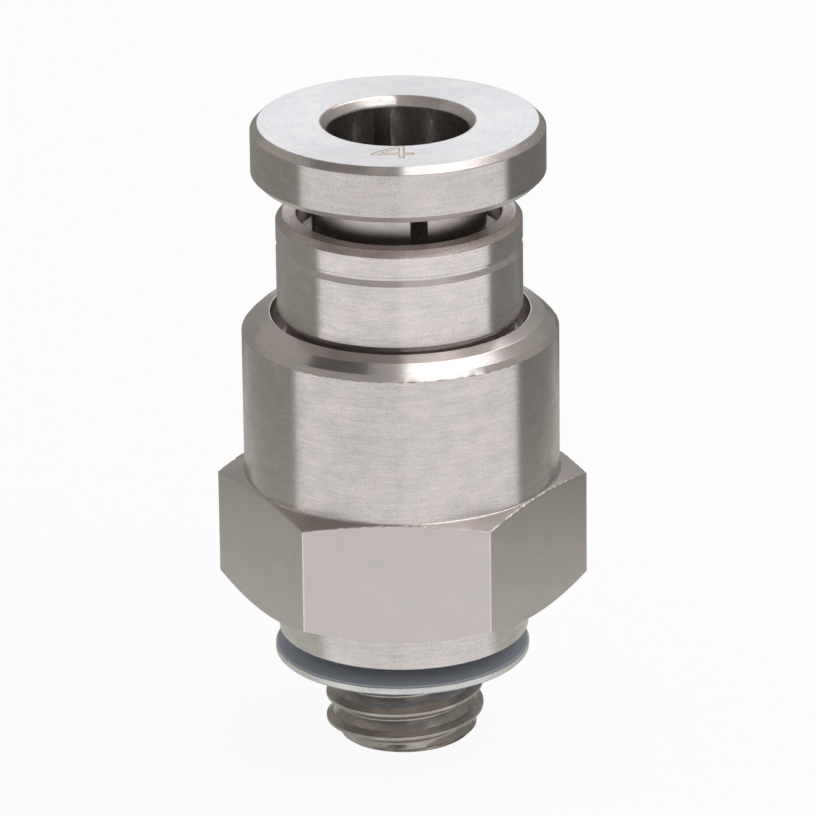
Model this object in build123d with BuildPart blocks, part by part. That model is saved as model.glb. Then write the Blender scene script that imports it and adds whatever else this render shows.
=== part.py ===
"""Straight male push-in fitting in stainless steel: 4 mm tube, M5 stud, 10 mm hexagon.

Millimetres, +Z up. The origin is on the axis, at the tip of the threaded stud.
"""

import os
from math import cos, radians, sin, tan

from build123d import *

# The tube, and the gaps round it
tube_diameter = 4.0
tube_seat_clearance = 0.06
tube_entry_clearance = 0.18
claw_bite = 0.15
lip_squeeze = 0.07

# Threaded stud: the thread from its tip up, and the undercut below the sealing face
thread_diameter = 4.976
thread_pitch = 0.8
thread_length = 2.75
thread_tip_chamfer = 0.42
thread_top_chamfer = 0.3
thread_phase = 0.035
thread_half_angle = 30
ridge_sink = 0.05
undercut_height = 0.85
undercut_step = 0.055
orifice_diameter = 2.5

# Washer that hangs on the undercut of the stud
gasket_diameter = 8.0
gasket_catch = 0.238
gasket_plate_thickness = 0.2
gasket_coat_thickness = 0.04
gasket_coat_margin = 0.05
gasket_rest_gap = 0.03
gasket_side_shift = -0.05

# Collar and hexagon
collar_diameter = 7.85
collar_height = 1.3
collar_edge = 0.06
hex_across_flats = 10.0
hex_sides = 6
hex_height = 3.97
hex_top_angle = 15
hex_bottom_angle = 25
hex_bottom_start = 0.187
hex_turn_margin = 0.1

# Barrel, with its rolled mouth
barrel_wall = 0.895
barrel_height = 5.26
barrel_foot_fillet = 0.1
lip_width = 0.39
lip_drop = 0.06
lip_cone_width = 0.33
lip_cone_drop = 0.41
barrel_edge_drop = 0.16

# Bores of the body, from the tube stop up to the mouth
stop_height = 3.0
seat_length = 1.7
sleeve_height = 3.45
pocket_step = 0.485

# Elastic sleeve
sleeve_play = 0.02
sleeve_wall = 0.31
sleeve_base = 1.65
sleeve_lip_height = 0.3
sleeve_lip_flare = 0.4
sleeve_lip_rise = 0.6
sleeve_shelf = 0.42

# Lock claws, stamped from sheet
claw_sheet = 0.25
claw_count = 8
claw_slot = 0.3
claw_slope = 40
claw_bend_play = 0.024

# Release ring
neck_wall = 0.52
flange_diameter = 9.12
flange_height = 1.8
flange_top_chamfer = 0.21
flange_bottom_chamfer = 0.25
entry_chamfer_width = 0.2
entry_chamfer_depth = 0.26
push_travel = 1.1
stop_gap = 0.03
slit_count = 4
slit_width = 0.5
slit_turn = 15.5
hook_catch = 0.27
hook_height = 0.32
hook_taper_height = 0.5
nose_step = 0.1

# Guide ring
slide_clearance = 0.1
hook_clearance = 0.11
head_wall = 0.74
head_height = 3.31
head_sink = 0.09
head_top_chamfer = 0.2
head_bottom_chamfer = 0.2
groove_depth = 0.08
groove_floor = 0.09
groove_slope_height = 0.18
groove_below_top = 0.83
guide_mouth_step = 0.37
guide_mouth_depth = 0.75
shoulder_depth = 2.4
mouth_gap = 0.215
skirt_wall = 0.45
foot_height = 1.4
foot_chamfer = 0.15
relief_flare = 0.4

# Radii that follow from the tube outwards
tube_radius = tube_diameter / 2
seat_radius = tube_radius + tube_seat_clearance
entry_radius = tube_radius + tube_entry_clearance
neck_radius = entry_radius + neck_wall
hook_radius = neck_radius + hook_catch
guide_bore_radius = neck_radius + slide_clearance
guide_mouth_radius = guide_bore_radius + guide_mouth_step
relief_radius = hook_radius + hook_clearance
head_radius = relief_radius + head_wall
skirt_radius = relief_radius + skirt_wall
bore_radius = head_radius + mouth_gap
barrel_radius = bore_radius + barrel_wall
pocket_radius = bore_radius - pocket_step
flange_radius = flange_diameter / 2

# Radii of the stud, with a thread as deep as 5/8 of its sharp V, the collar and the hexagon
flank_slope = tan(radians(thread_half_angle))
sharp_depth = thread_pitch / 2 / flank_slope
thread_depth = sharp_depth * 5 / 8
crest_radius = thread_diameter / 2
root_radius = crest_radius - thread_depth
undercut_radius = root_radius - undercut_step
gasket_hole_radius = crest_radius - gasket_catch
orifice_radius = orifice_diameter / 2
collar_radius = collar_diameter / 2
flat_radius = hex_across_flats / 2
corner_radius = flat_radius / cos(radians(180 / hex_sides))

# Levels up the axis
seal_z = thread_length + undercut_height
hex_z = seal_z + collar_height
barrel_z = hex_z + hex_height
mouth_z = barrel_z + barrel_height
stop_z = seal_z + stop_height
sleeve_z = stop_z + seat_length
rim_z = sleeve_z + sleeve_height
guide_z = rim_z + claw_sheet
head_z = mouth_z - head_sink
head_top_z = head_z + head_height
flange_z = head_top_z + push_travel + stop_gap
top_z = flange_z + flange_height
shoulder_z = head_top_z - shoulder_depth

# Hexagon: a bar with its corners turned off, shallow above and steep below.
hex_turn_radius = max(corner_radius, barrel_radius) + hex_turn_margin
hex_flat_start = flat_radius - hex_bottom_start
hex_bottom_rise = (hex_turn_radius - hex_flat_start) * tan(radians(hex_bottom_angle))
hex_top_drop = (hex_turn_radius - flat_radius) * tan(radians(hex_top_angle))
hex_foot_rise = (flat_radius - barrel_radius) * tan(radians(hex_top_angle))
hex_foot_z = barrel_z + hex_foot_rise

with BuildPart() as hexagon:
    with BuildSketch(Plane.XY.offset(hex_z)):
        RegularPolygon(flat_radius, hex_sides, major_radius=False)
    extrude(amount=hex_height + hex_foot_rise + 2 * barrel_foot_fillet)
    with BuildSketch(Plane.XZ):
        with BuildLine():
            FilletPolyline(
                (0, hex_z),
                (hex_flat_start, hex_z),
                (hex_turn_radius, hex_z + hex_bottom_rise),
                (hex_turn_radius, barrel_z - hex_top_drop),
                (barrel_radius, hex_foot_z),
                (barrel_radius, hex_foot_z + 2 * barrel_foot_fillet),
                (0, hex_foot_z + 2 * barrel_foot_fillet),
                radius=[0, 0, 0, 0, barrel_foot_fillet, 0, 0],
                close=True,
            )
        make_face()
    revolve(axis=Axis.Z, mode=Mode.INTERSECT)

# Stud: a core with a right-hand ridge wound round it, trimmed to the turned outline.
ridge_crest_half = (sharp_depth / 8) * flank_slope
ridge_base_half = ridge_crest_half + (thread_depth + ridge_sink) * flank_slope
ridge_start_z = thread_phase - thread_pitch
ridge_height = thread_length + thread_pitch - ridge_start_z

with BuildPart() as threaded_stud:
    with BuildLine() as ridge_path:
        Helix(pitch=thread_pitch, height=ridge_height, radius=crest_radius, center=(0, 0, ridge_start_z))
    ridge_plane = Plane(origin=ridge_path.line @ 0, x_dir=(1, 0, 0), z_dir=ridge_path.line % 0)
    with BuildSketch(ridge_plane):
        with BuildLine():
            Polyline(
                (-thread_depth - ridge_sink, -ridge_base_half),
                (0, -ridge_crest_half),
                (0, ridge_crest_half),
                (-thread_depth - ridge_sink, ridge_base_half),
                close=True,
            )
        make_face()
    sweep(path=ridge_path.line, is_frenet=True)
    with BuildSketch(Plane.XY.offset(ridge_start_z - thread_pitch)):
        Circle(root_radius)
    extrude(amount=ridge_height + 2 * thread_pitch)
    with BuildSketch(Plane.XZ):
        with BuildLine():
            Polyline(
                (0, 0),
                (crest_radius - thread_tip_chamfer, 0),
                (crest_radius + ridge_sink, thread_tip_chamfer + ridge_sink),
                (crest_radius + ridge_sink, thread_length - thread_top_chamfer - ridge_sink),
                (crest_radius - thread_top_chamfer, thread_length),
                (0, thread_length),
                close=True,
            )
        make_face()
    revolve(axis=Axis.Z, mode=Mode.INTERSECT)

# Body: stud, collar, hexagon and barrel in one piece, bored from both ends.
lip_radius = bore_radius + lip_width
lip_cone_radius = lip_radius + lip_cone_width

with BuildPart() as body:
    with BuildSketch(Plane.XZ):
        with BuildLine():
            Polyline(
                (0, thread_length - thread_top_chamfer),
                (undercut_radius, thread_length - thread_top_chamfer),
                (undercut_radius, seal_z),
                (collar_radius - collar_edge, seal_z),
                (collar_radius, seal_z + collar_edge),
                (collar_radius, hex_z + collar_edge),
                (0, hex_z + collar_edge),
                close=True,
            )
        make_face()
    revolve(axis=Axis.Z)
    add(threaded_stud.part)
    add(hexagon.part)
    with BuildSketch(Plane.XZ):
        with BuildLine():
            Polyline(
                (0, barrel_z - barrel_foot_fillet),
                (barrel_radius, barrel_z - barrel_foot_fillet),
                (barrel_radius, mouth_z - lip_drop - lip_cone_drop - barrel_edge_drop),
                (lip_cone_radius, mouth_z - lip_drop - lip_cone_drop),
                (lip_radius, mouth_z - lip_drop),
                (bore_radius, mouth_z),
                (0, mouth_z),
                close=True,
            )
        make_face()
    revolve(axis=Axis.Z)
    with BuildSketch(Plane.XZ):
        with BuildLine():
            Polyline(
                (0, 0),
                (orifice_radius, 0),
                (orifice_radius, stop_z),
                (seat_radius, stop_z),
                (seat_radius, sleeve_z),
                (pocket_radius, sleeve_z),
                (pocket_radius, rim_z),
                (bore_radius, rim_z),
                (bore_radius, mouth_z),
                (0, mouth_z),
                close=True,
            )
        make_face()
    revolve(axis=Axis.Z, mode=Mode.SUBTRACT)
body.part.label = "body"

# Washer on the stud: a punched steel plate with a rubber coat on both faces.
gasket_z = thread_length + gasket_rest_gap
gasket_radius = gasket_diameter / 2
coat_radius = gasket_radius - gasket_coat_margin
plate_z = gasket_z + gasket_coat_thickness
coat_top_z = plate_z + gasket_plate_thickness

with BuildPart() as gasket_coat_bottom:
    with BuildSketch(Plane.XY.offset(gasket_z)):
        with Locations((gasket_side_shift, 0)):
            Circle(coat_radius)
            Circle(gasket_hole_radius, mode=Mode.SUBTRACT)
    extrude(amount=gasket_coat_thickness)
gasket_coat_bottom.part.label = "gasket_coat_bottom"

with BuildPart() as gasket_plate:
    with BuildSketch(Plane.XY.offset(plate_z)):
        with Locations((gasket_side_shift, 0)):
            Circle(gasket_radius)
            Circle(gasket_hole_radius, mode=Mode.SUBTRACT)
    extrude(amount=gasket_plate_thickness)
gasket_plate.part.label = "gasket_plate"

with BuildPart() as gasket_coat_top:
    with BuildSketch(Plane.XY.offset(coat_top_z)):
        with Locations((gasket_side_shift, 0)):
            Circle(coat_radius)
            Circle(gasket_hole_radius, mode=Mode.SUBTRACT)
    extrude(amount=gasket_coat_thickness)
gasket_coat_top.part.label = "gasket_coat_top"

# Elastic sleeve: its lip seals on the tube and its wall carries the rim of the claws.
sleeve_radius = pocket_radius - sleeve_play
sleeve_inner_radius = sleeve_radius - sleeve_wall
sleeve_lip_radius = tube_radius - lip_squeeze
sleeve_lip_z = sleeve_z + sleeve_lip_rise

with BuildPart() as elastic_sleeve:
    with BuildSketch(Plane.XZ):
        with BuildLine():
            Polyline(
                (sleeve_lip_radius + sleeve_lip_flare, sleeve_z),
                (sleeve_radius, sleeve_z),
                (sleeve_radius, rim_z),
                (sleeve_inner_radius, rim_z),
                (sleeve_inner_radius, sleeve_z + sleeve_base),
                (sleeve_lip_radius + sleeve_shelf, sleeve_lip_z + sleeve_lip_height + sleeve_shelf / 2),
                (sleeve_lip_radius, sleeve_lip_z + sleeve_lip_height),
                (sleeve_lip_radius, sleeve_lip_z),
                close=True,
            )
        make_face()
    revolve(axis=Axis.Z)
elastic_sleeve.part.label = "elastic_sleeve"

# Lock claws: a flat rim under the guide ring, and claws that lean inwards and down.
claw_tip_radius = tube_radius - claw_bite
claw_angle = radians(claw_slope)
claw_lower_bend_radius = sleeve_inner_radius - claw_bend_play
claw_bend_radius = claw_lower_bend_radius - claw_sheet * tan(claw_angle / 2)
claw_tip_z = guide_z - (claw_bend_radius - claw_tip_radius) * tan(claw_angle)
claw_heel_radius = claw_tip_radius + claw_sheet * sin(claw_angle)
claw_heel_z = claw_tip_z - claw_sheet * cos(claw_angle)

with BuildPart() as lock_claws:
    with BuildSketch(Plane.XZ):
        with BuildLine():
            Polyline(
                (bore_radius, rim_z),
                (bore_radius, guide_z),
                (claw_bend_radius, guide_z),
                (claw_tip_radius, claw_tip_z),
                (claw_heel_radius, claw_heel_z),
                (claw_lower_bend_radius, rim_z),
                close=True,
            )
        make_face()
    revolve(axis=Axis.Z)
    with BuildSketch(Plane.XY.offset(guide_z)):
        with PolarLocations(claw_lower_bend_radius / 2, claw_count):
            Rectangle(claw_lower_bend_radius, claw_slot)
    extrude(amount=claw_heel_z - guide_z, mode=Mode.SUBTRACT)
lock_claws.part.label = "lock_claws"

# Guide ring: a grooved head above the mouth, a skirt inside it, and a foot pressed into the bore.
groove_top_z = head_top_z - groove_below_top
groove_floor_top_z = groove_top_z - groove_depth / 2
groove_floor_bottom_z = groove_floor_top_z - groove_floor
groove_radius = head_radius - groove_depth
foot_top_z = guide_z + foot_height
guide_mouth_z = head_top_z - guide_mouth_depth

with BuildPart() as guide_ring:
    with BuildSketch(Plane.XZ):
        with BuildLine():
            Polyline(
                (relief_radius + relief_flare, guide_z),
                (bore_radius - foot_chamfer, guide_z),
                (bore_radius, guide_z + foot_chamfer),
                (bore_radius, foot_top_z - foot_chamfer),
                (bore_radius - foot_chamfer, foot_top_z),
                (skirt_radius, foot_top_z),
                (skirt_radius, head_z),
                (head_radius - head_bottom_chamfer, head_z),
                (head_radius, head_z + head_bottom_chamfer),
                (head_radius, groove_floor_bottom_z - groove_slope_height),
                (groove_radius, groove_floor_bottom_z),
                (groove_radius, groove_floor_top_z),
                (head_radius, groove_top_z),
                (head_radius, head_top_z - head_top_chamfer),
                (head_radius - head_top_chamfer, head_top_z),
                (guide_mouth_radius, head_top_z),
                (guide_mouth_radius, guide_mouth_z),
                (guide_bore_radius, guide_mouth_z - guide_mouth_step),
                (guide_bore_radius, shoulder_z),
                (relief_radius, shoulder_z),
                (relief_radius, guide_z + relief_flare),
                close=True,
            )
        make_face()
    revolve(axis=Axis.Z)
guide_ring.part.label = "guide_ring"

# Release ring: a flange to push on, and a slotted neck with snap-in hooks above its nose.
hook_top_z = shoulder_z - stop_gap
hook_taper_z = hook_top_z - hook_height
hook_bottom_z = hook_taper_z - hook_taper_height
nose_radius = neck_radius - nose_step
nose_tip_radius = (entry_radius + nose_radius) / 2
nose_z = guide_z - (claw_bend_radius - nose_tip_radius) * tan(claw_angle) + stop_gap
nose_bevel_z = nose_z + (nose_radius - nose_tip_radius) * tan(claw_angle)

with BuildPart() as release_ring:
    with BuildSketch(Plane.XZ):
        with BuildLine():
            Polyline(
                (entry_radius, nose_z),
                (nose_tip_radius, nose_z),
                (nose_radius, nose_bevel_z),
                (nose_radius, hook_bottom_z),
                (hook_radius, hook_taper_z),
                (hook_radius, hook_top_z),
                (neck_radius, hook_top_z),
                (neck_radius, flange_z),
                (flange_radius - flange_bottom_chamfer, flange_z),
                (flange_radius, flange_z + flange_bottom_chamfer),
                (flange_radius, top_z - flange_top_chamfer),
                (flange_radius - flange_top_chamfer, top_z),
                (entry_radius + entry_chamfer_width, top_z),
                (entry_radius, top_z - entry_chamfer_depth),
                close=True,
            )
        make_face()
    revolve(axis=Axis.Z)
    with BuildSketch(Plane.XY.offset(flange_z)):
        with PolarLocations(neck_radius, slit_count, start_angle=slit_turn):
            Rectangle(neck_radius, slit_width)
    extrude(amount=nose_z - flange_z, mode=Mode.SUBTRACT)
release_ring.part.label = "release_ring"

os.makedirs("parts", exist_ok=True)
for piece in (
    body,
    gasket_coat_bottom,
    gasket_plate,
    gasket_coat_top,
    elastic_sleeve,
    lock_claws,
    guide_ring,
    release_ring,
):
    export_step(piece.part, f"parts/{piece.part.label}.step")
print(f"height {top_z:.2f} mm, width over corners {2 * corner_radius:.2f} mm")
print(f"tube stop {top_z - stop_z:.2f} mm below the top face")
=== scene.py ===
from math import asin, atan, cos, radians, sin, sqrt, tan

import bpy
import bmesh
import numpy as np
from mathutils import Matrix, Vector


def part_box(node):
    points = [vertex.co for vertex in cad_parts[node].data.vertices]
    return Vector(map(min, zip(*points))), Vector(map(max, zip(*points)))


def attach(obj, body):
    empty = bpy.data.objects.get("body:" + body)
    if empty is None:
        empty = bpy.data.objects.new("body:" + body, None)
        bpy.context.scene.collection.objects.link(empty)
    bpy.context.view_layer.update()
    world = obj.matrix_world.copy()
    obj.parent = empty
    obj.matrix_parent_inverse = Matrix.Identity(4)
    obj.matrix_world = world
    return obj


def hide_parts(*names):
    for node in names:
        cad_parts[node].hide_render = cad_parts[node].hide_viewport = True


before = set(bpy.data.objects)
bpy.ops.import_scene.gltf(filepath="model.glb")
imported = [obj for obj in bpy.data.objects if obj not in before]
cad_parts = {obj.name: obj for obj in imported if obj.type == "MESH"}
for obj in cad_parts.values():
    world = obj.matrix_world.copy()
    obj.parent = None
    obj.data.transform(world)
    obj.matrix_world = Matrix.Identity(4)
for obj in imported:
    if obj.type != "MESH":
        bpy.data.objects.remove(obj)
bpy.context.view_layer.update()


# Body: one bar of stainless steel with its hexagon milled on, from the M5 stud up to the barrel.
# The collar, the barrel and the bores are turned, the thread is cut with a single point, and the
# guide ring is pressed into its mouth. Lengths here and below are millimetres, as in the drawing.
mm = 0.001
edge_ease = 0.035
arc_steps = 3
arc_share = 0.45
stud_thread = {"pitch": 0.8, "crest": 2.488, "root": 2.055, "phase": 0.035, "length": 2.75}
thread_crest_half = 0.05
thread_crest_ease = 0.025
thread_root_half = 0.1
thread_root_ease = 0.07
thread_arc_steps = 4
thread_tip_chamfer = 0.42
thread_top_chamfer = 0.3
thread_turns = range(-1, 4)
tip_levels = [0, 0.03]
thread_start_z = 0.06
orifice_radius = 1.25
undercut_radius = 2.0
seal_z = 3.6
collar_radius = 3.925
collar_edge = 0.06
hex_z = 4.9
hex_turn = 60
hex_flat_radius = 5.0
hex_corner_ease = 0.05
hex_chamfer_start = 4.813
hex_bottom_slope = tan(radians(25))
hex_top_slope = tan(radians(15))
hex_edge = 0.06
barrel_z = 8.87
barrel_foot_ease = 0.1
barrel_radius = 4.93
bore_radius = 4.035
bore_depth = 2.38
pocket_radius = 3.55
pocket_z = 8.3
seat_radius = 2.06
stop_z = 6.6
mouth_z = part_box("body")[1].z / mm
barrel_top_drop = 0.65
lip_edge_drop = 0.59
lip_corners = [(0.025, 0.56, 0), (0.145, 0.415, 0.02), (0.445, 0.135, 0.05)]


def eased(outline, ease=edge_ease, steps=arc_steps):
    """The outline's (r, z) points, each corner turned into a small arc.

    A corner's third number is its own ease, and with 0 it stays one sharp point.
    """
    points = []
    for i, corner in enumerate(outline):
        here = Vector(corner[:2])
        back = Vector(outline[i - 1][:2]) - here
        ahead = Vector(outline[(i + 1) % len(outline)][:2]) - here
        radius = corner[2] if len(corner) > 2 else ease
        if radius == 0:
            points.append(here)
            continue
        reach = radius / tan(back.angle(ahead) / 2)
        reach = min(reach, arc_share * back.length, arc_share * ahead.length)
        start = here + back.normalized() * reach
        end = here + ahead.normalized() * reach
        for step in range(steps + 1):
            t = step / steps
            points.append(start * (1 - t) ** 2 + here * 2 * t * (1 - t) + end * t * t)
    return points


def row_of(outline, corner):
    """The row at which that corner of an outline starts once the outline is eased."""
    return sum(1 if point[2:] == (0,) else arc_steps + 1 for point in outline[:corner])


def skin(
    name,
    columns,
    walled=None,
    seam=lambda row: row,
    finish_of=lambda column, row: 0,
    extra=(),
):
    """A closed mesh over columns of points.

    Column by column it goes round the axis, and row by row round the section.
    """
    weld = 2e-8
    rows = len(columns[0])
    flat = [Vector(p) * mm for column in columns for p in column]
    faces, finishes = [], []
    for j in range(len(columns)):
        after = (j + 1) % len(columns)
        for i in range(rows):
            if walled and not walled(j, i):
                continue
            near, far = i, (i + 1) % rows
            near_after, far_after = (seam(near), seam(far)) if after == 0 else (near, far)
            faces.append((
                j * rows + near,
                after * rows + near_after,
                after * rows + far_after,
                j * rows + far,
            ))
            finishes.append(finish_of(j, i))
    for corners, finish in extra:
        faces.append(tuple(j * rows + i for j, i in corners))
        finishes.append(finish)
    mesh = bpy.data.meshes.new(name)
    mesh.from_pydata(flat, [], faces)
    mesh.polygons.foreach_set("material_index", finishes)
    work = bmesh.new()
    work.from_mesh(mesh)
    bmesh.ops.remove_doubles(work, verts=work.verts, dist=weld)
    bmesh.ops.dissolve_degenerate(work, edges=work.edges, dist=weld)
    bmesh.ops.recalc_face_normals(work, faces=work.faces)
    work.to_mesh(mesh)
    work.free()
    for face in mesh.polygons:
        face.use_smooth = True
    leans = np.zeros((len(mesh.vertices), 3))
    for face in mesh.polygons:
        leans[list(face.vertices)] += np.array(face.normal) * face.area
    leans /= np.maximum(np.linalg.norm(leans, axis=1, keepdims=True), 1e-30)
    mesh.normals_split_custom_set_from_vertices(leans)
    piece = bpy.data.objects.new(name, mesh)
    bpy.context.collection.objects.link(piece)
    return piece


def round_the_axis(angle, section):
    """A section's (r, z) points at that angle, in degrees, as (x, y, z)."""
    return [(r * cos(radians(angle)), r * sin(radians(angle)), z) for r, z in section]


class Signal:
    """One socket in a material's node tree.

    Arithmetic on it adds Math nodes, and node() adds any other node.
    """

    def __init__(self, tree, socket=None):
        self.tree = tree
        self.socket = socket

    def node(self, kind, settings=(), values=(), out=0):
        made = self.tree.nodes.new(kind)
        for setting, value in dict(settings).items():
            setattr(made, setting, value)
        for place, value in dict(values).items():
            if isinstance(value, Signal):
                self.tree.links.new(value.socket, made.inputs[place])
            else:
                made.inputs[place].default_value = value
        return None if out is None else Signal(self.tree, made.outputs[out])

    def maths(self, operation, *terms):
        return self.node("ShaderNodeMath", {"operation": operation}, enumerate(terms))

    def __add__(self, other):
        return self.maths("ADD", self, other)

    def __sub__(self, other):
        return self.maths("SUBTRACT", self, other)

    def __rsub__(self, other):
        return self.maths("SUBTRACT", other, self)

    def __mul__(self, other):
        return self.maths("MULTIPLY", self, other)

    def __truediv__(self, other):
        return self.maths("DIVIDE", self, other)

    def __rtruediv__(self, other):
        return self.maths("DIVIDE", other, self)

    def __pow__(self, other):
        return self.maths("POWER", self, other)

    __radd__ = __add__
    __rmul__ = __mul__


def blank(name):
    """An empty material and the start of its node tree."""
    material = bpy.data.materials.new(name)
    material.use_nodes = True
    material.node_tree.nodes.clear()
    return material, Signal(material.node_tree)


def tool_marks(start, per_mm, around, detail):
    """Grooves that a turning tool leaves round the axis: how many per millimetre, how often broken."""
    spot = start.node("ShaderNodeTexCoord", out=3)
    split = start.node("ShaderNodeSeparateXYZ", values={0: spot}).socket.node
    x, y, z = (Signal(start.tree, part) for part in split.outputs)
    r = (x * x + y * y) ** 0.5
    across = per_mm / mm
    lay = start.node("ShaderNodeCombineXYZ", values={0: r * across, 1: z * across, 2: x / r * around})
    return start.node(
        "ShaderNodeTexNoise",
        {"noise_dimensions": "4D"},
        {"Vector": lay, "W": y / r * around, "Scale": 1.0, "Detail": detail, "Roughness": 0.5},
    )


def patches(start, per_mm, detail):
    """Soft patches, so many per millimetre in every direction."""
    spot = start.node("ShaderNodeTexCoord", out=3)
    return start.node(
        "ShaderNodeTexNoise",
        {},
        {"Vector": spot, "Scale": per_mm / mm, "Detail": detail, "Roughness": 0.6},
    )


def between(start, factor, low, high):
    """A colour that goes from low to high with the factor."""
    low, high = (end if isinstance(end, Signal) else (*end, 1) for end in (low, high))
    return start.node("ShaderNodeMix", {"data_type": "RGBA"}, {0: factor, 6: low, 7: high}, out=2)


def clamped(start, value):
    """The value, kept between 0 and 1."""
    return start.node("ShaderNodeClamp", {}, {0: value})


def steel(
    name,
    light,
    dark,
    roughness,
    anisotropy,
    per_mm,
    streaks=1.0,
    grain=0.0,
    groove=0.0006,
    around=9.0,
):
    """Stainless steel as a tool leaves it: grooves and grain, a little warmer in places.

    Anisotropy stretches its shine across the grooves. Its lighter places are a little smoother.
    """
    cut_share, band_share, cloud_share, polish = 2.0, 1.4, 0.9, 0.06
    band_coarseness, band_breaks = 0.25, 0.35
    cloud_per_mm, speck_per_mm, cloud_contrast = 1.4, 22.0, 3
    cool, warm = (0.985, 1.005, 1.01), (1.015, 0.995, 0.99)
    material, start = blank(name)
    fine = tool_marks(start, per_mm, around, detail=1.0)
    band = tool_marks(start, per_mm * band_coarseness, around * band_breaks, detail=3.0)
    cloud = patches(start, cloud_per_mm, detail=4.0)
    speck = patches(start, speck_per_mm, detail=2.0)
    cut = fine * (1 - grain) + speck * grain
    tone = (cut - 0.5) * cut_share + (band - 0.5) * (band_share * streaks)
    tone = clamped(start, tone + (cloud - 0.5) * cloud_share + 0.5)
    warmth = clamped(start, (cloud - 0.5) * cloud_contrast + 0.5)
    shades = []
    for tint in (cool, warm):
        low, high = ([share * c for share, c in zip(tint, colour)] for colour in (dark, light))
        shades.append(between(start, tone, low, high))
    relief = start.node("ShaderNodeBump", {}, {"Strength": 1.0, "Distance": groove * mm, "Height": cut})
    surface = start.node("ShaderNodeBsdfPrincipled", {}, {
        "Base Color": between(start, warmth, *shades),
        "Metallic": 1.0,
        "Roughness": roughness - (tone - 0.5) * polish,
        "Anisotropic": anisotropy,
        "Anisotropic Rotation": 0.25,
        "Normal": relief,
    })
    start.node("ShaderNodeOutputMaterial", {}, {0: surface}, out=None)
    return material


def hex_reach(angle):
    """How far out the hexagon's side is at that angle, with its corners a little rounded."""
    off = angle % hex_turn
    off = radians(min(off, hex_turn - off))
    half = radians(hex_turn / 2)
    centre = (hex_flat_radius - hex_corner_ease) / cos(half)
    rounding_ends = half - atan(centre * sin(half) / hex_flat_radius)
    if off < rounding_ends:
        return centre * cos(off) + sqrt(hex_corner_ease ** 2 - (centre * sin(off)) ** 2)
    return hex_flat_radius / cos(half - off)


thread_turn = eased(
    [
        (-stud_thread["pitch"] / 2, stud_thread["root"], 0),
        (thread_root_half - stud_thread["pitch"] / 2, stud_thread["root"], thread_root_ease),
        (-thread_crest_half, stud_thread["crest"], thread_crest_ease),
        (thread_crest_half, stud_thread["crest"], thread_crest_ease),
        (stud_thread["pitch"] / 2 - thread_root_half, stud_thread["root"], thread_root_ease),
    ],
    steps=thread_arc_steps,
)
thread_rises = [point[0] for point in thread_turn]
thread_radii = [point[1] for point in thread_turn]


def stud_radius(angle, z):
    """The stud's radius at that angle and height: the thread, with a chamfer at each end."""
    pitch = stud_thread["pitch"]
    rise = (z - stud_thread["phase"] - pitch * angle / 360 + pitch / 2) % pitch - pitch / 2
    wound = np.interp(rise, thread_rises + [pitch / 2], thread_radii + [stud_thread["root"]])
    tip = stud_thread["crest"] - thread_tip_chamfer + z
    top = stud_thread["crest"] - thread_top_chamfer + stud_thread["length"] - z
    return min(wound, tip, top)


def stud_rows(angle):
    """The stud's points from its tip up, in step with the thread, so that crests keep their edges."""
    pitch = stud_thread["pitch"]
    start = stud_thread["phase"] + pitch * angle / 360
    levels = [start + turn * pitch + rise for turn in thread_turns for rise in thread_rises]
    levels = [min(max(z, thread_start_z), stud_thread["length"]) for z in levels]
    return [(stud_radius(angle, z), z) for z in tip_levels + levels]


def body_outline(angle, burr, lip_burr):
    """The section's corners above the thread: out and up to the mouth, and back down the bores.

    The burrs make the top edges of the hexagon and of the barrel uneven.
    """
    reach = hex_reach(angle)
    top_z = barrel_z - (reach - hex_flat_radius) * hex_top_slope
    foot_z = barrel_z + (hex_flat_radius - barrel_radius) * hex_top_slope
    return [
        (stud_thread["crest"] - thread_top_chamfer, stud_thread["length"], 0),
        (undercut_radius, stud_thread["length"], 0.02),
        (undercut_radius, seal_z, 0.08),
        (collar_radius, seal_z, collar_edge),
        (collar_radius, hex_z, 0.04),
        (hex_chamfer_start, hex_z),
        (reach, hex_z + (reach - hex_chamfer_start) * hex_bottom_slope, 0.03),
        (reach, top_z - hex_edge, 0),
        (reach, top_z + burr, 0.02),
        (reach - hex_edge, top_z + hex_edge * hex_top_slope, 0),
        (barrel_radius, foot_z, barrel_foot_ease),
        (barrel_radius, mouth_z - barrel_top_drop, 0),
        (barrel_radius, mouth_z - lip_edge_drop + lip_burr, 0.015),
        *[(barrel_radius - inward, mouth_z - drop, ease) for inward, drop, ease in lip_corners],
        (bore_radius, mouth_z, 0.03),
        (bore_radius, mouth_z - bore_depth, 0.02),
        (pocket_radius, mouth_z - bore_depth, 0.02),
        (pocket_radius, pocket_z, 0.05),
        (seat_radius, pocket_z),
        (seat_radius, stop_z),
        (orifice_radius, stop_z, 0.02),
        (orifice_radius, 0, 0.06),
        (stud_thread["crest"] - thread_tip_chamfer, 0, 0),
    ]


near_corner = [0.12, 0.24, 0.36]
near_next_corner = [hex_turn - step for step in reversed(near_corner)]
side_steps = [0, *near_corner, *range(1, hex_turn), *near_next_corner]
hex_angles = [side + step for side in range(0, 360, hex_turn) for step in side_steps]
burr_seed = 3
burr_range = (-0.035, 0.01)
lip_burr_range = (-0.03, 0.02)
burr_chance = np.random.default_rng(burr_seed)
burrs = burr_chance.uniform(*burr_range, len(hex_angles))
lip_burrs = burr_chance.uniform(*lip_burr_range, len(hex_angles))
body_columns = [
    round_the_axis(angle, stud_rows(angle) + eased(body_outline(angle, burr, lip_burr))[1:-1])
    for angle, burr, lip_burr in zip(hex_angles, burrs, lip_burrs)
]
thread_row_count = len(stud_rows(0))
hex_side_corner, hex_cone_corner, foot_corner, lip_corner, mouth_corner = 6, 9, 10, 13, 16
corner_line = 0.3


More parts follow.
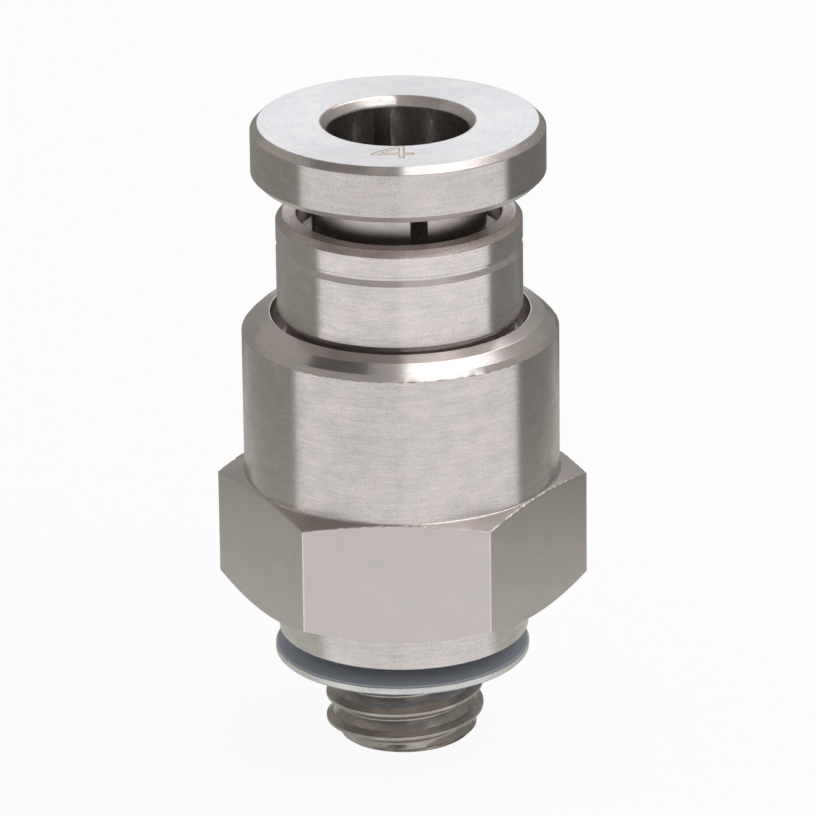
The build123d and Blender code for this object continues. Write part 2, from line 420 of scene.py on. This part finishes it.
def body_row(corner):
    """The row at which that corner of the body's outline starts in a column."""
    return thread_row_count - 1 + row_of(body_outline(0, 0, 0), corner)


# A finish starts or ends part of the way round a corner's arc, so a row or two from its start.
hex_rows = range(body_row(hex_side_corner) + 2, body_row(foot_corner))
hex_cone_row = body_row(hex_cone_corner) - 1
lip_rows = range(body_row(lip_corner) - 1, body_row(mouth_corner) + 1)
body_finishes = {"turned": 0, "thread": 1, "hexagon": 2, "corner": 3, "lip": 4}


def body_finish(column, row):
    """Which of the body's finishes a face has."""
    if row < thread_row_count:
        return body_finishes["thread"]
    if row in lip_rows:
        return body_finishes["lip"]
    if row in hex_rows:
        off = min(hex_angles[column] % hex_turn, hex_turn - hex_angles[column] % hex_turn)
        return body_finishes["corner" if off < corner_line and row < hex_cone_row else "hexagon"]
    return body_finishes["turned"]


def one_turn_up(row):
    """The row that a row of the thread meets where the columns close, one pitch higher."""
    if len(tip_levels) <= row < thread_row_count:
        return min(row + len(thread_rises), thread_row_count - 1)
    return row


body_piece = skin("body_turned", body_columns, seam=one_turn_up, finish_of=body_finish)
body_steels = [
    steel(
        "turned_steel", light=(0.765, 0.71, 0.695), dark=(0.53, 0.495, 0.475),
        roughness=0.25, anisotropy=0.93, per_mm=32.0, streaks=0.45, grain=0.6,
    ),
    steel(
        "thread_steel", light=(0.49, 0.45, 0.42), dark=(0.33, 0.3, 0.275),
        roughness=0.25, anisotropy=0.3, per_mm=12.0, streaks=0.8, grain=0.5,
    ),
    steel(
        "hexagon_steel", light=(0.615, 0.565, 0.55), dark=(0.565, 0.515, 0.5),
        roughness=0.32, anisotropy=0.2, per_mm=6.0, streaks=0.35, grain=0.8,
    ),
    # The hexagon's corner strips are lighter. This is partly bright burrs and partly a painted
    # highlight along the corners.
    steel(
        "corner_burr_and_highlight_steel", light=(0.86, 0.79, 0.765), dark=(0.6, 0.55, 0.53),
        roughness=0.3, anisotropy=0.0, per_mm=20.0, streaks=0.5, grain=0.9,
    ),
    steel(
        "lip_steel", light=(0.69, 0.645, 0.63), dark=(0.6, 0.56, 0.54),
        roughness=0.215, anisotropy=0.4, per_mm=26.0, streaks=0.6, grain=0.3,
    ),
]
for finish in body_steels:
    body_piece.data.materials.append(finish)
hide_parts("body")
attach(body_piece, "housing")


# Elastic sleeve: moulded rubber that lies in the pocket below the claws and seals on the tube.
# Only its lip can be seen, down the bore.
def rubber(name, low, high, roughness, per_mm, relief):
    """Moulded rubber: a matt skin with a fine grain."""
    roughness_spread = 0.15
    material, start = blank(name)
    grain = patches(start, per_mm, detail=4.0)
    bump = start.node("ShaderNodeBump", {}, {"Strength": 1.0, "Distance": relief * mm, "Height": grain})
    surface = start.node("ShaderNodeBsdfPrincipled", {}, {
        "Base Color": between(start, grain, low, high),
        "Roughness": grain * roughness_spread + roughness,
        "Normal": bump,
    })
    start.node("ShaderNodeOutputMaterial", {}, {0: surface}, out=None)
    return material


sleeve_rubber = rubber(
    "sleeve_rubber", low=(0.02, 0.02, 0.022), high=(0.035, 0.035, 0.038),
    roughness=0.5, per_mm=12.0, relief=0.004,
)
sleeve_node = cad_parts["elastic_sleeve"]
sleeve_node.data.materials.clear()
sleeve_node.data.materials.append(sleeve_rubber)


# Lock claws: a ring stamped from spring steel, which lies between the sleeve and the guide ring.
# Its eight claws lean in, grip the tube and push the release ring back up.
spring_steel = steel(
    "spring_steel", light=(0.58, 0.57, 0.55), dark=(0.45, 0.44, 0.42),
    roughness=0.3, anisotropy=0.3, per_mm=9.0, streaks=0.8, grain=0.6,
)
claws_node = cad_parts["lock_claws"]
claws_node.data.materials.clear()
claws_node.data.materials.append(spring_steel)


# Guide ring: turned from stainless steel and pressed into the mouth. The release ring slides in it,
# and its groove is the mark that shows how far the tube has to go in.
guide_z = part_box("guide_ring")[0].z / mm
guide_top_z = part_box("guide_ring")[1].z / mm
foot_chamfer = 0.15
foot_height = 1.4
skirt_radius = 3.53
head_radius = 3.82
head_height = 3.31
head_chamfer = 0.2
groove_radius = 3.74
groove_drop = {"slope": 1.14, "floor": 0.96, "wall": 0.87, "edge": 0.83}
guide_mouth_radius = 3.17
guide_mouth_depth = 0.75
guide_bore_radius = 2.8
guide_bore_drop = 1.12
shoulder_depth = 2.4
relief_radius = 3.08
relief_flare = 0.4
guide_outline = [
    (relief_radius + relief_flare, guide_z),
    (bore_radius - foot_chamfer, guide_z),
    (bore_radius, guide_z + foot_chamfer),
    (bore_radius, guide_z + foot_height - foot_chamfer),
    (bore_radius - foot_chamfer, guide_z + foot_height),
    (skirt_radius, guide_z + foot_height),
    (skirt_radius, guide_top_z - head_height),
    (head_radius - head_chamfer, guide_top_z - head_height),
    (head_radius, guide_top_z - head_height + head_chamfer, 0.05),
    (head_radius, guide_top_z - groove_drop["slope"], 0.02),
    (groove_radius, guide_top_z - groove_drop["floor"], 0.02),
    (groove_radius, guide_top_z - groove_drop["wall"], 0.02),
    (head_radius, guide_top_z - groove_drop["edge"], 0.02),
    (head_radius, guide_top_z - head_chamfer, 0.05),
    (head_radius - head_chamfer, guide_top_z, 0.05),
    (guide_mouth_radius, guide_top_z, 0.05),
    (guide_mouth_radius, guide_top_z - guide_mouth_depth),
    (guide_bore_radius, guide_top_z - guide_bore_drop, 0.05),
    (guide_bore_radius, guide_top_z - shoulder_depth),
    (relief_radius, guide_top_z - shoulder_depth),
    (relief_radius, guide_z + relief_flare),
]
guide_section = eased(guide_outline)
head_edge_corner, mouth_edge_corner = 13, 15
top_edge_rows = range(
    row_of(guide_outline, head_edge_corner) + 1,
    row_of(guide_outline, mouth_edge_corner) + 2,
)
guide_angles = range(360)
guide_piece = skin(
    "guide_ring_turned",
    [round_the_axis(angle, guide_section) for angle in guide_angles],
    finish_of=lambda column, row: int(row in top_edge_rows),
)
guide_steels = [
    steel(
        "guide_steel", light=(0.84, 0.78, 0.765), dark=(0.6, 0.56, 0.545),
        roughness=0.24, anisotropy=0.93, per_mm=28.0, streaks=0.5, grain=0.65,
    ),
    # The top chamfer and face are painted darker and redder than the rest of the ring, as painted shade
    # on the top edge.
    steel(
        "guide_edge_shaded_steel", light=(0.7, 0.62, 0.59), dark=(0.4, 0.34, 0.32),
        roughness=0.34, anisotropy=0.0, per_mm=20.0, streaks=0.8, grain=0.9, groove=0.003,
    ),
]
for finish in guide_steels:
    guide_piece.data.materials.append(finish)
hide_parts("guide_ring")
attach(guide_piece, "housing")


# Release ring: turned from stainless steel, then slit four times so that its hooks can snap in under
# the guide ring's shoulder. A thumb or a tool pushes its flange to let the tube go. The size mark
# stands proud of its face by mark_rise, so the face is that much below the top of the CAD ring.
mark_rise = 0.002
mark_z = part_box("release_ring")[1].z / mm
ring_top_z = mark_z - mark_rise
nose_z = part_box("release_ring")[0].z / mm
entry_radius = 2.18
entry_chamfer_width = 0.2
entry_chamfer_depth = 0.26
entry_ease = 0.14
flange_z = 18.48
flange_radius = 4.56
flange_top_chamfer = 0.21
flange_bottom_chamfer = 0.25
neck_radius = 2.7
neck_support = 0.03
hook_radius = 2.97
hook_top_z = 14.92
hook_z = 14.6
hook_taper_z = 14.1
nose_radius = 2.6
nose_tip_radius = 2.39
nose_bevel = 0.176
slit_count = 4
slit_half = 0.25
slit_turn = 15.5
slit_spacing = 360 / slit_count
ring_outline = [
    (entry_radius, flange_z, 0),
    (entry_radius, ring_top_z - entry_chamfer_depth, entry_ease),
    (entry_radius + entry_chamfer_width, ring_top_z, entry_ease),
    (flange_radius - flange_top_chamfer, ring_top_z, 0.06),
    (flange_radius, ring_top_z - flange_top_chamfer, 0.06),
    (flange_radius, flange_z + flange_bottom_chamfer, 0.04),
    (flange_radius - flange_bottom_chamfer, flange_z, 0.05),
    (neck_radius, flange_z, 0),
    (neck_radius, flange_z - neck_support, 0),
    (neck_radius, hook_top_z, 0.02),
    (hook_radius, hook_top_z, 0.03),
    (hook_radius, hook_z, 0.04),
    (nose_radius, hook_taper_z, 0.04),
    (nose_radius, nose_z + nose_bevel, 0.03),
    (nose_tip_radius, nose_z, 0.03),
    (entry_radius, nose_z, 0.03),
]
ring_section = eased(ring_outline)
face_corner, neck_corner = 3, 7
face_row = row_of(ring_outline, face_corner) - 1
neck_starts = row_of(ring_outline, neck_corner)
bore_rows = (0, len(ring_section) - 1)
finger_steps = 84
slit_steps = 8


def ring_column(slit, share, in_slit):
    """The ring's points on one line: across a slit, or on the finger after it.

    The slit's two walls are parallel.
    """
    middle = radians(slit_turn + slit_spacing * slit)
    points = []
    for r, z in ring_section:
        half = asin(slit_half / r)
        if in_slit:
            angle = middle + (2 * share - 1) * half
        else:
            angle = middle + half + share * (radians(slit_spacing) - 2 * half)
        points.append((r * cos(angle), r * sin(angle), z))
    return points


ring_columns = []
slit_columns = set()
finger_ends = []
for slit in range(slit_count):
    for step in range(1, slit_steps):
        slit_columns.add(len(ring_columns))
        ring_columns.append(ring_column(slit, step / slit_steps, True))
    finger_ends.append(len(ring_columns))
    for step in range(finger_steps + 1):
        ring_columns.append(ring_column(slit, step / finger_steps, False))
    finger_ends.append(len(ring_columns) - 1)


def ring_walled(column, row):
    """Whether a face is there: the neck and the hooks have none across a slit."""
    beside_slit = column in slit_columns or (column + 1) % len(ring_columns) in slit_columns
    return row < neck_starts or not beside_slit


ring_finishes = {"turned": 0, "face": 1, "bore": 2, "neck": 3}


def ring_finish(column, row):
    """Which of the ring's finishes a face has."""
    if row == face_row:
        return ring_finishes["face"]
    if row in bore_rows:
        return ring_finishes["bore"]
    return ring_finishes["neck" if row >= neck_starts else "turned"]


ceilings = []
for j in range(len(ring_columns)):
    if not ring_walled(j, neck_starts):
        after = (j + 1) % len(ring_columns)
        across_slit = ((j, 0), (after, 0), (after, neck_starts), (j, neck_starts))
        ceilings.append((across_slit, ring_finishes["neck"]))
slit_walls = [
    ([(j, 0)] + [(j, i) for i in range(neck_starts, len(ring_section))], ring_finishes["neck"])
    for j in finger_ends
]
ring_piece = skin(
    "release_ring_turned",
    ring_columns,
    walled=ring_walled,
    finish_of=ring_finish,
    extra=ceilings + slit_walls,
)
ring_steels = [
    steel(
        "ring_steel", light=(0.74, 0.69, 0.675), dark=(0.54, 0.5, 0.485),
        roughness=0.24, anisotropy=0.93, per_mm=26.0, streaks=0.6, grain=0.8,
    ),
    steel(
        "ring_face_steel", light=(0.72, 0.71, 0.71), dark=(0.6, 0.59, 0.59),
        roughness=0.26, anisotropy=0.5, per_mm=26.0, streaks=0.4, grain=0.7,
    ),
    # The bore's steel is painted darker, which is painted shade down the bore. Its coarse, broken
    # grooves are chatter marks.
    steel(
        "ring_bore_shaded_steel", light=(0.66, 0.62, 0.61), dark=(0.4, 0.37, 0.36),
        roughness=0.3, anisotropy=0.3, per_mm=7.0, streaks=1.4, grain=0.1, groove=0.006, around=20.0,
    ),
    steel(
        "ring_neck_steel", light=(0.66, 0.61, 0.59), dark=(0.56, 0.52, 0.5),
        roughness=0.3, anisotropy=0.0, per_mm=20.0, streaks=0.8, grain=0.6,
    ),
]
for finish in ring_steels:
    ring_piece.data.materials.append(finish)
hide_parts("release_ring")
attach(ring_piece, "release")


# Size mark: the tube size, a plain 4, drawn as a fine outline on the ring's face. A laser leaves it
# tan on the steel. It faces the camera, which stands a little to one side.
view_turn = 2.4
turn = Matrix.Rotation(radians(view_turn), 3, "Z")
mark_line = 0.06
mark_depth = 0.02
mark_loops = [
    [
        (-0.79, -3.2),
        (-0.79, -3.08),
        (0.02, -2.44),
        (0.17, -2.44),
        (0.17, -3.08),
        (0.46, -3.08),
        (0.46, -3.2),
        (0.17, -3.2),
        (0.17, -3.5),
        (0.04, -3.5),
        (0.04, -3.2),
    ],
    [(-0.54, -3.06), (0.03, -3.06), (0.03, -2.62)],
]
mark_work = bmesh.new()
for loop in mark_loops:
    corners = [Vector(point) for point in loop]
    rims = []
    for i, here in enumerate(corners):
        back = (here - corners[i - 1]).normalized()
        ahead = (corners[(i + 1) % len(corners)] - here).normalized()
        across = (back.orthogonal() + ahead.orthogonal()).normalized()
        reach = min(mark_line / 2 / across.dot(back.orthogonal()), mark_line)
        low_z = mark_z - mark_depth
        rims.append([
            mark_work.verts.new(turn @ Vector((*(here + across * out), z)) * mm)
            for out, z in ((-reach, low_z), (-reach, mark_z), (reach, mark_z), (reach, low_z))
        ])
    for i, rim in enumerate(rims):
        after = rims[(i + 1) % len(rims)]
        for j in range(4):
            mark_work.faces.new((rim[j], after[j], after[(j + 1) % 4], rim[(j + 1) % 4]))
bmesh.ops.recalc_face_normals(mark_work, faces=mark_work.faces)
mark_mesh = bpy.data.meshes.new("size_mark")
mark_work.to_mesh(mark_mesh)
mark_work.free()
mark_piece = bpy.data.objects.new("size_mark", mark_mesh)
bpy.context.collection.objects.link(mark_piece)
mark_mesh.materials.append(steel(
    "mark_steel", light=(0.52, 0.41, 0.29), dark=(0.4, 0.3, 0.2),
    roughness=0.35, anisotropy=0.0, per_mm=20.0, streaks=0.8, grain=0.8,
))
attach(mark_piece, "release")


# Washer: a steel plate, punched from sheet so that its edge is torn bright, with a thin rubber coat
# moulded on both faces. It hangs loose on the stud's undercut, a little to one side.
gasket_shift = -0.05
gasket_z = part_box("gasket_plate")[0].z / mm
gasket_top_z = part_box("gasket_plate")[1].z / mm
gasket_hole_radius = 2.25
plate_radius = 4.0
coat_radius = 3.95
coat_thickness = 0.04
disc_step = 0.75


def disc(name, outer, low, high, unevenness, seed, ease):
    """A flat ring whose outer edge is as uneven as the punch leaves it."""
    low_bite, middle_bite, middle_ease = 0.6, 0.3, 0.01
    edge_drop, edge_inset, face_inset = 0.01, 0.3, 1.5
    edge_chance = np.random.default_rng(seed)
    columns = []
    for angle in np.arange(0, 360, disc_step):
        lift, bite = edge_chance.uniform(-1, 1, 2) * unevenness
        section = eased([
            (gasket_hole_radius, low),
            (outer - abs(bite) * low_bite, low),
            (outer - abs(bite) * middle_bite, (low + high) / 2 + lift, middle_ease),
            (outer - edge_inset * ease, high - edge_drop),
            (outer - face_inset * ease - abs(lift), high),
            (gasket_hole_radius, high),
        ], ease=ease)
        columns.append([(x + gasket_shift, y, z) for x, y, z in round_the_axis(angle, section)])
    return skin(name, columns)


plate_piece = disc(
    "gasket_plate_punched", plate_radius, gasket_z, gasket_top_z, unevenness=0.02, seed=7, ease=0.02
)
plate_piece.data.materials.append(steel(
    "gasket_steel", light=(0.85, 0.84, 0.83), dark=(0.6, 0.59, 0.58),
    roughness=0.45, anisotropy=0.0, per_mm=9.0, streaks=1.0, grain=0.9, groove=0.004,
))
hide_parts("gasket_plate")
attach(plate_piece, "housing")
# The coat's blue-grey is painted lighter than the rubber really is. This painted light makes up for the
# shade that the collar casts on the coat.
gasket_rubber = rubber(
    "gasket_rubber", low=(0.44, 0.49, 0.56), high=(0.54, 0.59, 0.66),
    roughness=0.4, per_mm=20.0, relief=0.002,
)
for node, low, high, seed in (
    ("gasket_coat_top", gasket_top_z, gasket_top_z + coat_thickness, 11),
    ("gasket_coat_bottom", gasket_z - coat_thickness, gasket_z, 13),
):
    coat = disc(node + "_moulded", coat_radius, low, high, unevenness=0.008, seed=seed, ease=0.01)
    coat.data.materials.append(gasket_rubber)
    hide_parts(node)
    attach(coat, "housing")


# Stage: a pale floor, one soft lamp overhead and a world that is seen white. The steel mirrors what
# is round it, so grey, white and black cards make a tent, which shows only as reflections in it.
floor_half = 900
floor_share = 0.93


def seen_rays(start):
    """1 for what the camera, mirrors and glass see, and 0 for the light that falls on things."""
    rays = start.node("ShaderNodeLightPath").socket.node.outputs
    camera_sees, mirrors_see, glass_sees = (
        Signal(start.tree, rays[kind])
        for kind in ("Is Camera Ray", "Is Glossy Ray", "Is Transmission Ray")
    )
    return camera_sees + mirrors_see + glass_sees


def stage_material(name, seen_colour, seen_share, colour):
    """A stage surface, of which seen_share is seen as plain colour and the rest as lit."""
    material, start = blank(name)
    lit = start.node("ShaderNodeBsdfDiffuse", {}, {"Color": (*colour, 1)})
    plain = start.node("ShaderNodeEmission", {}, {"Color": (*seen_colour, 1)})
    factor = seen_rays(start) * seen_share
    mixed = start.node("ShaderNodeMixShader", {}, {0: factor, 1: lit, 2: plain})
    start.node("ShaderNodeOutputMaterial", {}, {0: mixed}, out=None)
    return material


def flat_piece(name, corners, material):
    """A flat piece of the stage with those corners, in millimetres."""
    mesh = bpy.data.meshes.new(name)
    mesh.from_pydata([Vector(c) * mm for c in corners], [], [tuple(range(len(corners)))])
    piece = bpy.data.objects.new(name, mesh)
    bpy.context.collection.objects.link(piece)
    mesh.materials.append(material)
    return piece


flat_piece(
    "floor",
    [
        (-floor_half, -floor_half, 0),
        (floor_half, -floor_half, 0),
        (floor_half, floor_half, 0),
        (-floor_half, floor_half, 0),
    ],
    stage_material("floor_white", (1, 1, 1), floor_share, (0.85, 0.85, 0.85)),
)


def reflector(name, corners, colour):
    """A card that shows only as a reflection, and neither lights nor shades anything else."""
    material = stage_material(name, colour, 1.0, colour)
    card = flat_piece(name, [turn @ Vector(corner) for corner in corners], material)
    card.visible_camera = False
    card.visible_diffuse = False
    card.visible_shadow = False
    card.visible_transmission = False


card_lift = 0.02
card_gap = 0.01
floor_cards = {
    "card_grey": (
        [(0, -3), (600, 18), (600, 34), (-600, 34), (-600, -87)],
        (0.525, 0.54, 0.495),
    ),
    "card_near": (
        [(0, -2.8), (18, -2), (18, 18), (-18, 18), (-18, -5)],
        (0.62, 0.635, 0.585),
    ),
    "card_far_left": (
        [(-600, -87), (-24, -6.4), (-24, 30), (0, 34), (0, 700), (-600, 700)],
        (0.29, 0.29, 0.26),
    ),
    "card_far_right": (
        [(0, 34), (24, 30), (24, -2.2), (600, 18), (600, 700), (0, 700)],
        (0.2, 0.2, 0.185),
    ),
}
for level, (name, (outline, colour)) in enumerate(floor_cards.items()):
    reflector(name, [(x, y, card_lift + card_gap * level) for x, y in outline], colour)

stand_z = 0.1
tent_half = 700
tent_z = 320
tent_grey = (0.33, 0.32, 0.3)
tent_corners = [
    (-tent_half, -tent_half),
    (tent_half, -tent_half),
    (tent_half, tent_half),
    (-tent_half, tent_half),
]
upright_cards = {
    "card_back": ((-54, 420), (54, 420), 20, 238, (1.25, 1.27, 1.32)),
    "card_front": ((6, -320), (380, -320), stand_z, 95, (0.95, 0.95, 0.95)),
    "flag_front": ((-420, -320), (6, -320), stand_z, 95, (0.03, 0.03, 0.03)),
    "tent_back": (tent_corners[3], tent_corners[2], stand_z, tent_z, tent_grey),
    "tent_front": (tent_corners[0], tent_corners[1], stand_z, tent_z, (0.5, 0.475, 0.45)),
    "tent_left": (tent_corners[0], tent_corners[3], stand_z, tent_z, tent_grey),
    "tent_right": (tent_corners[1], tent_corners[2], stand_z, tent_z, tent_grey),
}
for name, (first, last, low, high, colour) in upright_cards.items():
    reflector(name, [(*first, low), (*last, low), (*last, high), (*first, high)], colour)
overhead_cards = {
    "flag_left": ([(-80, -120), (-75, -50), (-230, 60), (-270, -30)], 298, (0.02, 0.02, 0.02)),
    "tent_top": (tent_corners, tent_z, (0.43, 0.41, 0.39)),
}
for name, (outline, level, colour) in overhead_cards.items():
    reflector(name, [(x, y, level) for x, y in outline], colour)

panel = bpy.data.lights.new("softbox", "AREA")
panel.shape = "RECTANGLE"
panel_height = 300
panel_x = (12, 250)
panel_y = (-235, 300)
panel.size, panel.size_y = (panel_x[1] - panel_x[0]) * mm, (panel_y[1] - panel_y[0]) * mm
panel.energy = 0.62
panel_holder = bpy.data.objects.new("softbox", panel)
bpy.context.collection.objects.link(panel_holder)
panel_holder.location = turn @ Vector((sum(panel_x) / 2, sum(panel_y) / 2, panel_height)) * mm
panel_holder.rotation_euler = (0, 0, radians(view_turn))

world = bpy.data.worlds.new("studio")
bpy.context.scene.world = world
world.use_nodes = True
world.node_tree.nodes.clear()
sky = Signal(world.node_tree)
air = sky.node("ShaderNodeBackground", {}, {0: (0.5, 0.5, 0.5, 1), 1: 1.0})
white = sky.node("ShaderNodeBackground", {}, {0: (1, 1, 1, 1), 1: 1.0})
seen_world = sky.node("ShaderNodeMixShader", {}, {0: seen_rays(sky), 1: air, 2: white})
sky.node("ShaderNodeOutputWorld", {}, {0: seen_world}, out=None)


# Camera: the photograph's own view, 21 degrees above the floor and a little to the right. It was
# fitted to the ellipses and corners that were measured in the photograph.
image_width = 816
focal_pixels = 7037.06
axis_pixel = 401.35
camera_distance = 219.29
camera_pitch = 21.18
camera_roll = 0.711
look_z = 10.81
camera = bpy.data.cameras.new("camera")
camera.sensor_width = 36
camera.lens = focal_pixels / image_width * camera.sensor_width
camera.shift_x = (image_width / 2 - axis_pixel) / image_width
camera.clip_start = 0.01
camera_holder = bpy.data.objects.new("camera", camera)
bpy.context.collection.objects.link(camera_holder)
pitch, side = radians(camera_pitch), radians(view_turn)
toward = Vector((sin(side) * cos(pitch), -cos(side) * cos(pitch), sin(pitch)))
roll = Matrix.Rotation(radians(-camera_roll), 3, "Z").to_quaternion()
camera_holder.location = (Vector((0, 0, look_z)) + toward * camera_distance) * mm
camera_holder.rotation_euler = (toward.to_track_quat("Z", "Y") @ roll).to_euler()
scene = bpy.context.scene
scene.camera = camera_holder
scene.view_settings.view_transform = "Standard"
